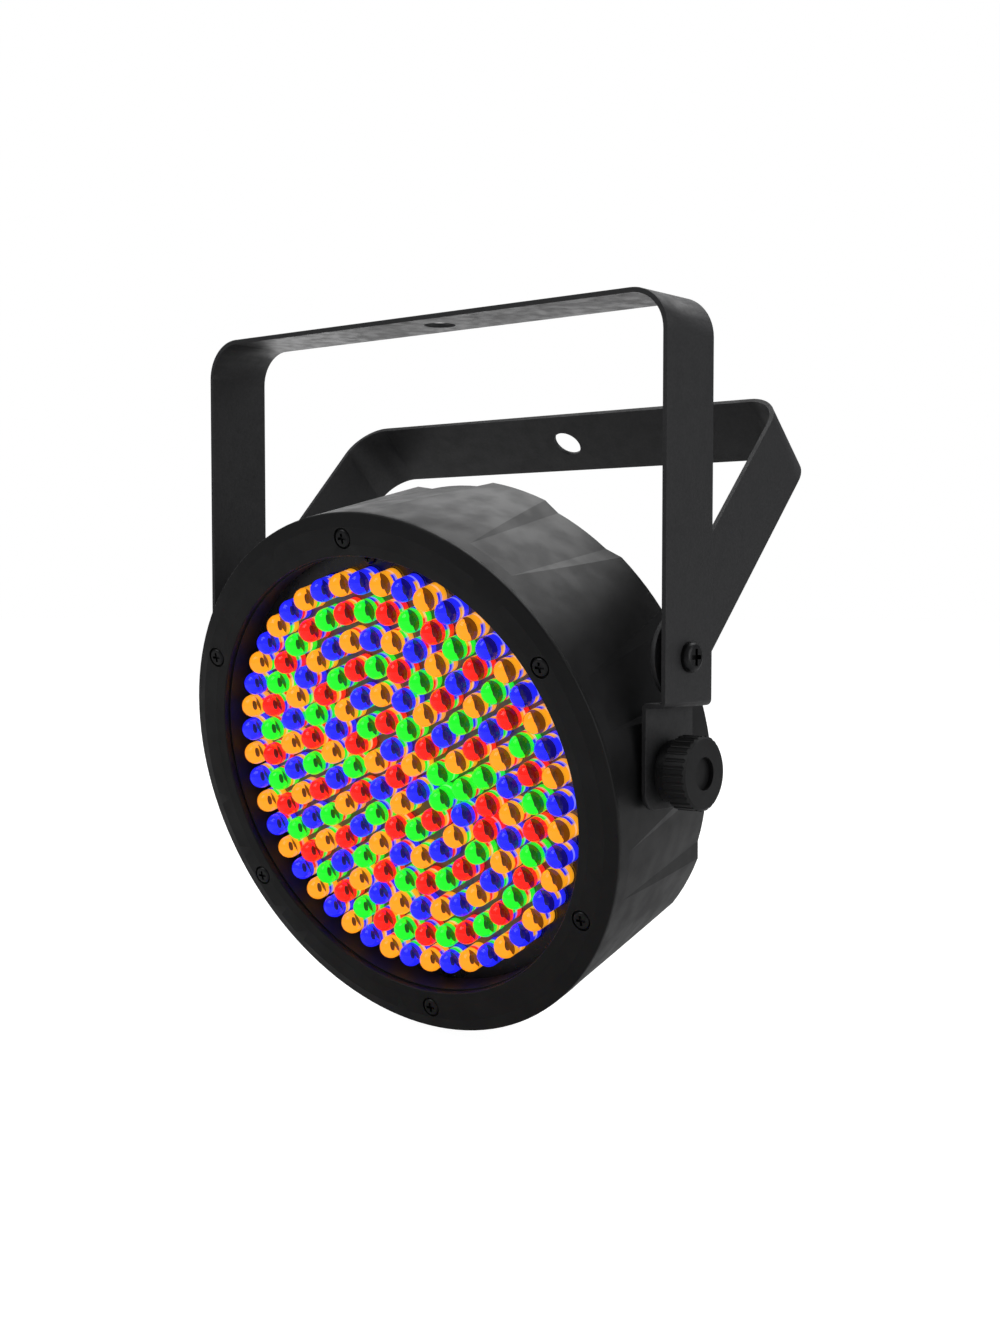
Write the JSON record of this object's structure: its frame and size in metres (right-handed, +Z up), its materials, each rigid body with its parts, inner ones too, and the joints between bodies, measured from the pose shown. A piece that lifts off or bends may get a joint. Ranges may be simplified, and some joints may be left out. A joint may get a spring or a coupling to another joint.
{
  "type": "LED par light",
  "caption": "Round LED stage light with a fluted drum, colour LEDs behind a screwed bezel, rear controls and sockets, and a double bracket with side tilt knobs.",
  "frame": {"origin": "centre of the hang hole, on the top face of the outer bracket's bar", "axes": "+Z up out of the hang hole, -Y the side the beam leaves from, +X across the lamp along the tilt axis"},
  "size_m": [0.2694, 0.1671, 0.3061],
  "materials": {
    "powder_black": "fine-textured black powder coat on steel",
    "housing_black": "satin black moulded plastic",
    "bezel_black": "satin black moulded plastic",
    "sleeve_black": "matt black plastic",
    "knob_black": "matt black moulded plastic",
    "screw_black": "black-oxide steel",
    "zinc_steel": "zinc-plated steel",
    "nylon_black": "black nylon",
    "brass": "machined brass",
    "rubber_black": "black rubber",
    "lens_red": "tinted clear epoxy",
    "lens_green": "tinted clear epoxy",
    "lens_blue": "tinted clear epoxy",
    "lens_amber": "tinted clear epoxy",
    "board_black": "black solder mask on glass-epoxy board",
    "board_green": "green solder mask on glass-epoxy board",
    "chips": "moulded component bodies",
    "can_blue": "sleeved aluminium cans",
    "battery_sleeve": "heat-shrink sleeve over lithium cells",
    "cover_black": "black powder coat on steel",
    "key_black": "matt black plastic",
    "rocker_black": "gloss black plastic",
    "socket_black": "black glass-filled nylon",
    "display_dark": "dark red epoxy",
    "window_clear": "smoked clear acrylic",
    "fuse_glass": "glass tube",
    "cable_black": "black cable jacket",
    "cable_brown": "insulated mains leads"
  },
  "bodies": {
    "yoke": {"main_yoke": "powder_black", "pivot_bolts": "screw_black", "pivot_spacers": "nylon_black", "pivot_washers": "zinc_steel", "pivot_nuts": "zinc_steel", "knob_washers": "zinc_steel"},
    "kickstand": {"kickstand_yoke": "powder_black"},
    "drum": {"drum_shell": "housing_black", "front_bezel": "bezel_black", "led_sleeve": "sleeve_black", "bezel_screws": "screw_black", "tilt_inserts": "brass", "tilt_friction_washers": "rubber_black", "led_board": "board_black", "led_board_components": "chips", "led_board_screws": "screw_black", "leds_red": "lens_red", "leds_green": "lens_green", "leds_blue": "lens_blue", "leds_amber": "lens_amber", "chassis_plate": "zinc_steel", "chassis_screws": "screw_black", "power_supply_board": "board_green", "psu_standoffs": "brass", "psu_transformer": "chips", "psu_capacitors": "can_blue", "battery_pack": "battery_sleeve", "battery_strap": "zinc_steel", "rear_cover": "cover_black", "cover_screws": "screw_black", "control_board": "board_green", "button_switches": "chips", "display_module": "display_dark", "display_window": "window_clear", "ir_receiver": "display_dark", "dmx_in_socket": "socket_black", "dmx_out_socket": "socket_black", "socket_pins": "brass", "socket_screws": "screw_black", "power_inlet": "socket_black", "power_switch_frame": "socket_black", "fuse_holder": "socket_black", "fuse": "fuse_glass", "safety_bracket": "zinc_steel", "safety_screw": "screw_black", "led_harness": "cable_black", "mains_wiring": "cable_brown"},
    "knob_left": {"knob_grip_left": "knob_black", "knob_stud_left": "zinc_steel"},
    "knob_right": {"knob_grip_right": "knob_black", "knob_stud_right": "zinc_steel"},
    "menu_button_1": {"menu_button_1": "key_black"},
    "menu_button_2": {"menu_button_2": "key_black"},
    "menu_button_3": {"menu_button_3": "key_black"},
    "menu_button_4": {"menu_button_4": "key_black"},
    "power_rocker": {"power_rocker": "rocker_black"},
    "dmx_out_latch": {"dmx_out_latch": "key_black"},
    "fuse_cap": {"fuse_cap": "key_black"}
  },
  "joints": [
    {"name": "drum_tilt", "type": "hinge", "parent": "yoke", "child": "drum", "pos_m": [0, 0, -0.1865], "axis": [1, 0, 0], "continuous": true},
    {"name": "kickstand_pivot", "type": "hinge", "parent": "yoke", "child": "kickstand", "pos_m": [0, 0, -0.1415], "axis": [-1, 0, 0], "range_deg": [-44, 45]},
    {"name": "knob_left_turn", "type": "hinge", "parent": "drum", "child": "knob_left", "pos_m": [-0.12, 0, -0.1865], "axis": [-1, 0, 0], "range_deg": [0, 900]},
    {"name": "knob_right_turn", "type": "hinge", "parent": "drum", "child": "knob_right", "pos_m": [0.12, 0, -0.1865], "axis": [1, 0, 0], "range_deg": [0, 900]},
    {"name": "menu_button_1_press", "type": "slide", "parent": "drum", "child": "menu_button_1", "axis": [0, -0.9659, -0.2588], "range_m": [0, 0.0005], "stiffness_N_per_m": 150, "springref_m": -0.002},
    {"name": "menu_button_2_press", "type": "slide", "parent": "drum", "child": "menu_button_2", "axis": [0, -0.9659, -0.2588], "range_m": [0, 0.0005], "stiffness_N_per_m": 150, "springref_m": -0.002},
    {"name": "menu_button_3_press", "type": "slide", "parent": "drum", "child": "menu_button_3", "axis": [0, -0.9659, -0.2588], "range_m": [0, 0.0005], "stiffness_N_per_m": 150, "springref_m": -0.002},
    {"name": "menu_button_4_press", "type": "slide", "parent": "drum", "child": "menu_button_4", "axis": [0, -0.9659, -0.2588], "range_m": [0, 0.0005], "stiffness_N_per_m": 150, "springref_m": -0.002},
    {"name": "power_rocker_tip", "type": "hinge", "parent": "drum", "child": "power_rocker", "pos_m": [-0.066, 0.04381, -0.19547], "axis": [1, 0, 0], "range_deg": [0, 18]},
    {"name": "dmx_out_latch_press", "type": "slide", "parent": "drum", "child": "dmx_out_latch", "axis": [0, -0.9659, -0.2588], "range_m": [0, 0.0012], "stiffness_N_per_m": 40, "springref_m": -0.01},
    {"name": "fuse_cap_turn", "type": "hinge", "parent": "drum", "child": "fuse_cap", "pos_m": [-0.06, 0.03501, -0.16262], "axis": [0, -0.9659, -0.2588], "range_deg": [0, 90]}
  ]
}
